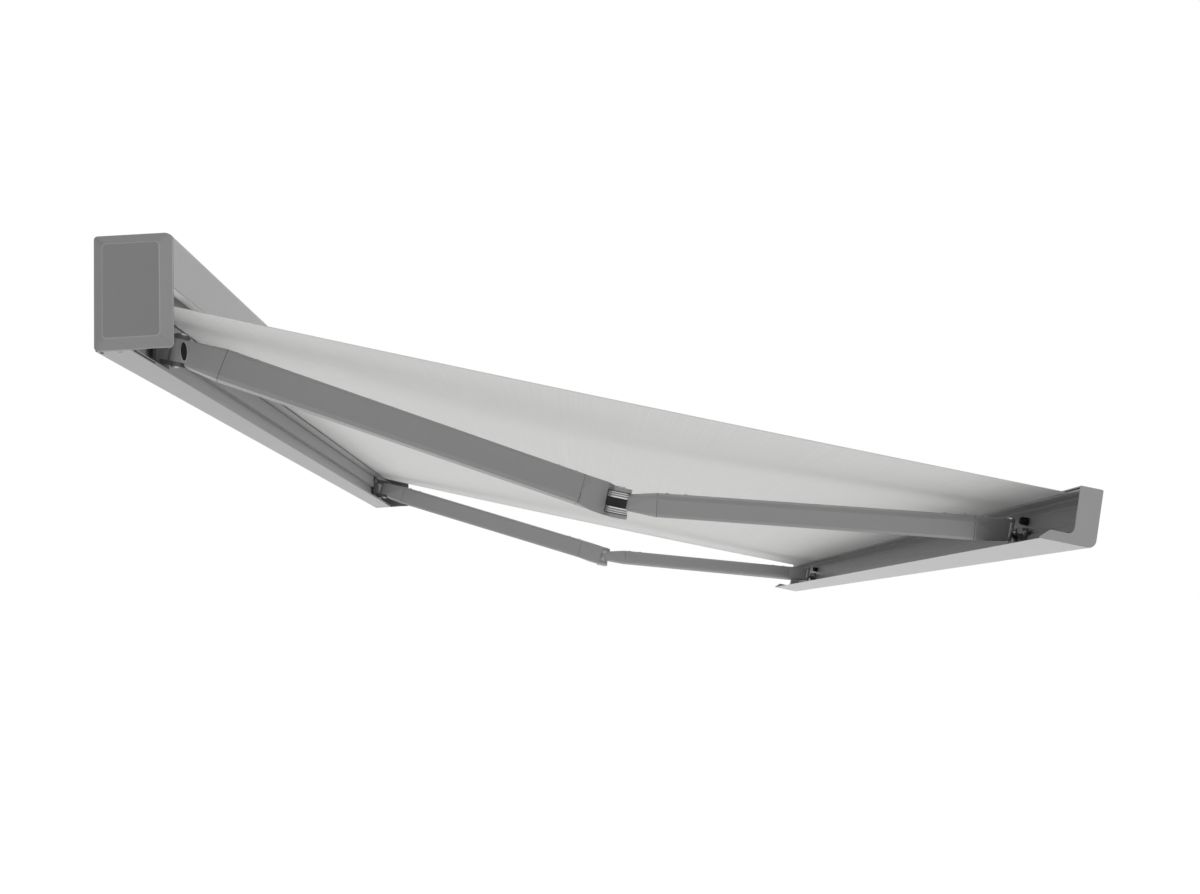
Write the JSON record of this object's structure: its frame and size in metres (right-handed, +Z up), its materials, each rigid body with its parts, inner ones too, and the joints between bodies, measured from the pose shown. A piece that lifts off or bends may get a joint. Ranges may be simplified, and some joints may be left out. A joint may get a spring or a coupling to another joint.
{
  "type": "folding-arm awning",
  "caption": "Full-cassette awning with a fabric canopy, two folding spring arms with belt-drum elbows, an L-section front rail and wall brackets.",
  "frame": {"origin": "middle of the centre wall bracket's back face: on the wall plane, at mid width, 127 mm above the cassette's underside", "axes": "+X along the cassette, to the motor end; +Y into the wall; +Z up; the canopy runs out to -Y and down"},
  "size_m": [3.553, 2.1332, 0.8023],
  "materials": {
    "cassette_paint": "silver-grey powder coat, satin",
    "arm_paint": "silver-grey powder coat on extrusions and castings, satin",
    "bare_metal": "zinc-plated or bare, satin",
    "dark_casting": "dark grey cast and painted",
    "black_rubber": "matt black",
    "canvas": "plain weave, pale off-white"
  },
  "bodies": {
    "root": {"cassette_back": "cassette_paint", "cassette_visor": "cassette_paint", "bottom_strip": "cassette_paint", "bay_liner": "cassette_paint", "carrier_rail": "cassette_paint", "fabric_deflector": "cassette_paint", "left_end_cap": "cassette_paint", "right_end_cap": "cassette_paint", "left_end_plate": "dark_casting", "right_end_plate": "dark_casting", "left_wall_bracket": "dark_casting", "middle_wall_bracket": "dark_casting", "right_wall_bracket": "dark_casting", "motor": "dark_casting", "idler_pin": "bare_metal", "canopy": "canvas", "left_shoulder_bracket": "dark_casting", "left_shoulder_pin": "bare_metal", "right_shoulder_bracket": "dark_casting", "right_shoulder_pin": "bare_metal"},
    "roller": {"roller_tube": "bare_metal", "fabric_roll": "canvas", "drive_wheel": "dark_casting", "idler_plug": "dark_casting"},
    "left_upper_arm": {"left_shoulder_casting": "arm_paint", "left_upper_tube": "arm_paint", "left_elbow_fork": "arm_paint", "left_elbow_pin": "bare_metal"},
    "left_forearm": {"left_elbow_hub": "arm_paint", "left_drum_belt": "black_rubber", "left_fore_tube": "arm_paint", "left_tension_spring": "bare_metal", "left_wrist_casting": "arm_paint", "left_wrist_pin": "bare_metal"},
    "left_swivel": {"left_swivel_block": "bare_metal"},
    "right_upper_arm": {"right_shoulder_casting": "arm_paint", "right_upper_tube": "arm_paint", "right_elbow_fork": "arm_paint", "right_elbow_pin": "bare_metal"},
    "right_forearm": {"right_elbow_hub": "arm_paint", "right_drum_belt": "black_rubber", "right_fore_tube": "arm_paint", "right_tension_spring": "bare_metal", "right_wrist_casting": "arm_paint", "right_wrist_pin": "bare_metal"},
    "right_swivel": {"right_swivel_block": "bare_metal"},
    "drop_rail": {"front_rail": "cassette_paint", "hem_rod": "canvas", "left_rail_cap": "cassette_paint", "right_rail_cap": "cassette_paint", "left_rail_bracket": "dark_casting", "right_rail_bracket": "dark_casting", "left_tilt_pin": "bare_metal", "right_tilt_pin": "bare_metal", "left_rail_buffer": "black_rubber", "right_rail_buffer": "black_rubber"}
  },
  "joints": [
    {"name": "left_shoulder", "type": "hinge", "parent": "root", "child": "left_upper_arm", "pos_m": [-1.4939, -0.0998, -0.0695], "axis": [-0.1335, -0.259, 0.9566], "range_deg": [0, 75.32], "deforming": ["canopy"]},
    {"name": "left_elbow", "type": "hinge", "parent": "left_upper_arm", "child": "left_forearm", "pos_m": [-1.24808, -1.12073, -0.46835], "axis": [-0.1335, -0.259, 0.9566], "range_deg": [-158.9, 0]},
    {"name": "left_wrist", "type": "hinge", "parent": "left_forearm", "child": "left_swivel", "pos_m": [-1.34231, -2.07344, -0.60454], "axis": [-0.1335, -0.259, 0.9566], "range_deg": [0, 83.6]},
    {"name": "rail_tilt", "type": "hinge", "parent": "left_swivel", "child": "drop_rail", "pos_m": [-1.34231, -2.09169, -0.60947], "axis": [1, 0, 0], "range_deg": [-15.16, 0]},
    {"name": "right_shoulder", "type": "hinge", "parent": "root", "child": "right_upper_arm", "pos_m": [1.4939, -0.0998, -0.0695], "axis": [0.1335, -0.259, 0.9566], "range_deg": [-75.32, 0]},
    {"name": "right_elbow", "type": "hinge", "parent": "right_upper_arm", "child": "right_forearm", "pos_m": [1.24808, -1.12073, -0.46835], "axis": [0.1335, -0.259, 0.9566], "range_deg": [0, 158.9]},
    {"name": "right_wrist", "type": "hinge", "parent": "right_forearm", "child": "right_swivel", "pos_m": [1.34231, -2.07344, -0.60454], "axis": [0.1335, -0.259, 0.9566], "range_deg": [-83.6, 0]},
    {"name": "roller_turn", "type": "hinge", "parent": "root", "child": "roller", "pos_m": [0, -0.0833, 0.058], "axis": [1, 0, 0], "range_deg": [0, 2235]}
  ],
  "couplings": [
    {"joint": "left_elbow", "follows": "left_shoulder", "ratio": -2.1095},
    {"joint": "left_wrist", "follows": "left_shoulder", "ratio": 1.1095},
    {"joint": "rail_tilt", "follows": "left_shoulder", "ratio": -0.20114},
    {"joint": "right_shoulder", "follows": "left_shoulder", "ratio": -1},
    {"joint": "right_elbow", "follows": "left_shoulder", "ratio": 2.1095},
    {"joint": "right_wrist", "follows": "left_shoulder", "ratio": -1.1095},
    {"joint": "roller_turn", "follows": "left_shoulder", "ratio": 29.6}
  ]
}
